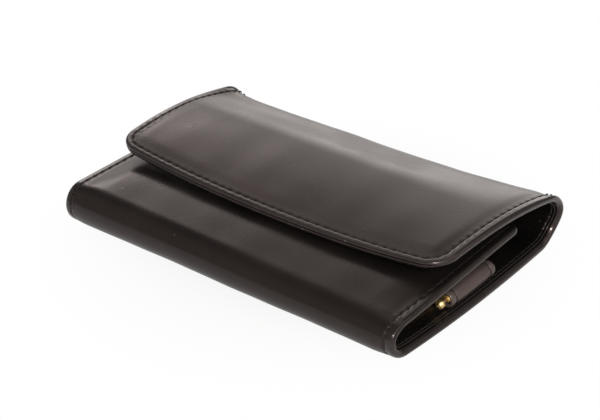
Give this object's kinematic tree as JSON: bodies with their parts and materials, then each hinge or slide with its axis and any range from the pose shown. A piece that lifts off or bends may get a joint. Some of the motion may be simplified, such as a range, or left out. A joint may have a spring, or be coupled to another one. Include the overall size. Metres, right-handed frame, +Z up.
{
  "type": "folding key case",
  "caption": "Leather key case folded in three, closed with two overlapping flaps, with a row of spring key hooks on a plate inside.",
  "frame": {"origin": "middle of the closed case, on the surface that it lies on", "axes": "+Z up out of the base, +X along the folds toward the end where the hooks are held, +Y from the low front fold to the tall back fold"},
  "size_m": [0.1072, 0.073, 0.0193],
  "materials": {
    "leather": "smooth, softly glossy black-brown",
    "lining": "smooth, satin black-brown",
    "board": "matt grey fibre board",
    "gilt": "polished gilt",
    "gate_spring": "polished gilt spring metal"
  },
  "bodies": {
    "base": {"base_leather": "leather", "base_lining": "lining", "base_board": "board", "hook_strap": "leather", "hook_plate": "gilt", "hook_rod": "gilt", "strap_rivet_1": "gilt", "strap_rivet_2": "gilt"},
    "back_fold": {"back_fold_leather": "leather", "back_fold_lining": "lining"},
    "outer_flap": {"outer_flap_leather": "leather", "outer_flap_lining": "lining", "outer_flap_board": "board", "snap_cap": "gilt", "snap_socket": "gilt"},
    "front_fold": {"front_fold_leather": "leather", "front_fold_lining": "lining"},
    "inner_flap": {"inner_flap_leather": "leather", "inner_flap_lining": "lining", "inner_flap_board": "board", "snap_stud": "gilt", "snap_eyelet": "gilt"},
    "hook_1": {"hook_1": "gilt"},
    "hook_2": {"hook_2": "gilt"},
    "hook_3": {"hook_3": "gilt"},
    "hook_4": {"hook_4": "gilt"},
    "hook_5": {"hook_5": "gilt"},
    "hook_6": {"hook_6": "gilt"},
    "gate_1": {"hook_gate_1": "gate_spring"},
    "gate_2": {"hook_gate_2": "gate_spring"},
    "gate_3": {"hook_gate_3": "gate_spring"},
    "gate_4": {"hook_gate_4": "gate_spring"},
    "gate_5": {"hook_gate_5": "gate_spring"},
    "gate_6": {"hook_gate_6": "gate_spring"}
  },
  "joints": [
    {"name": "back_upper_bend", "type": "hinge", "parent": "back_fold", "child": "outer_flap", "pos_m": [0, 0.03395, 0.01485], "axis": [-1, 0, 0], "range_deg": [0, 88]},
    {"name": "back_lower_bend", "type": "hinge", "parent": "base", "child": "back_fold", "pos_m": [0, 0.03395, 0.00255], "axis": [-1, 0, 0], "range_deg": [0, 88]},
    {"name": "front_lower_bend", "type": "hinge", "parent": "base", "child": "front_fold", "pos_m": [0, -0.03483, 0.00167], "axis": [1, 0, 0], "range_deg": [0, 44]},
    {"name": "front_upper_bend", "type": "hinge", "parent": "front_fold", "child": "inner_flap", "pos_m": [0, -0.03483, 0.00973], "axis": [1, 0, 0], "range_deg": [0, 44]},
    {"name": "hook_1_swing", "type": "hinge", "parent": "base", "child": "hook_1", "pos_m": [0.03765, -0.0209, 0.0044], "axis": [0, 1, 0], "range_deg": [0, 7.5]},
    {"name": "gate_1_push", "type": "hinge", "parent": "hook_1", "child": "gate_1", "pos_m": [0.03355, -0.01957, 0.0044], "axis": [0, 0, 1], "range_deg": [0, 8.5], "stiffness_Nm_per_rad": 0.02},
    {"name": "hook_2_swing", "type": "hinge", "parent": "base", "child": "hook_2", "pos_m": [0.03765, -0.0145, 0.0044], "axis": [0, 1, 0], "range_deg": [0, 7.5]},
    {"name": "gate_2_push", "type": "hinge", "parent": "hook_2", "child": "gate_2", "pos_m": [0.03355, -0.01317, 0.0044], "axis": [0, 0, 1], "range_deg": [0, 8.5], "stiffness_Nm_per_rad": 0.02},
    {"name": "hook_3_swing", "type": "hinge", "parent": "base", "child": "hook_3", "pos_m": [0.03765, -0.0081, 0.0044], "axis": [0, 1, 0], "range_deg": [0, 7.5]},
    {"name": "gate_3_push", "type": "hinge", "parent": "hook_3", "child": "gate_3", "pos_m": [0.03355, -0.00677, 0.0044], "axis": [0, 0, 1], "range_deg": [0, 8.5], "stiffness_Nm_per_rad": 0.02},
    {"name": "hook_4_swing", "type": "hinge", "parent": "base", "child": "hook_4", "pos_m": [0.03765, -0.0017, 0.0044], "axis": [0, 1, 0], "range_deg": [0, 7.5]},
    {"name": "gate_4_push", "type": "hinge", "parent": "hook_4", "child": "gate_4", "pos_m": [0.03355, -0.00038, 0.0044], "axis": [0, 0, 1], "range_deg": [0, 8.5], "stiffness_Nm_per_rad": 0.02},
    {"name": "hook_5_swing", "type": "hinge", "parent": "base", "child": "hook_5", "pos_m": [0.03765, 0.0047, 0.0044], "axis": [0, 1, 0], "range_deg": [0, 7.5]},
    {"name": "gate_5_push", "type": "hinge", "parent": "hook_5", "child": "gate_5", "pos_m": [0.03355, 0.00602, 0.0044], "axis": [0, 0, 1], "range_deg": [0, 8.5], "stiffness_Nm_per_rad": 0.02},
    {"name": "hook_6_swing", "type": "hinge", "parent": "base", "child": "hook_6", "pos_m": [0.03765, 0.0111, 0.0044], "axis": [0, 1, 0], "range_deg": [0, 7.5]},
    {"name": "gate_6_push", "type": "hinge", "parent": "hook_6", "child": "gate_6", "pos_m": [0.03355, 0.01243, 0.0044], "axis": [0, 0, 1], "range_deg": [0, 8.5], "stiffness_Nm_per_rad": 0.02}
  ],
  "couplings": [
    {"joint": "back_lower_bend", "follows": "back_upper_bend", "ratio": 1},
    {"joint": "front_lower_bend", "follows": "back_upper_bend", "ratio": 0.5},
    {"joint": "front_upper_bend", "follows": "back_upper_bend", "ratio": 0.5}
  ]
}
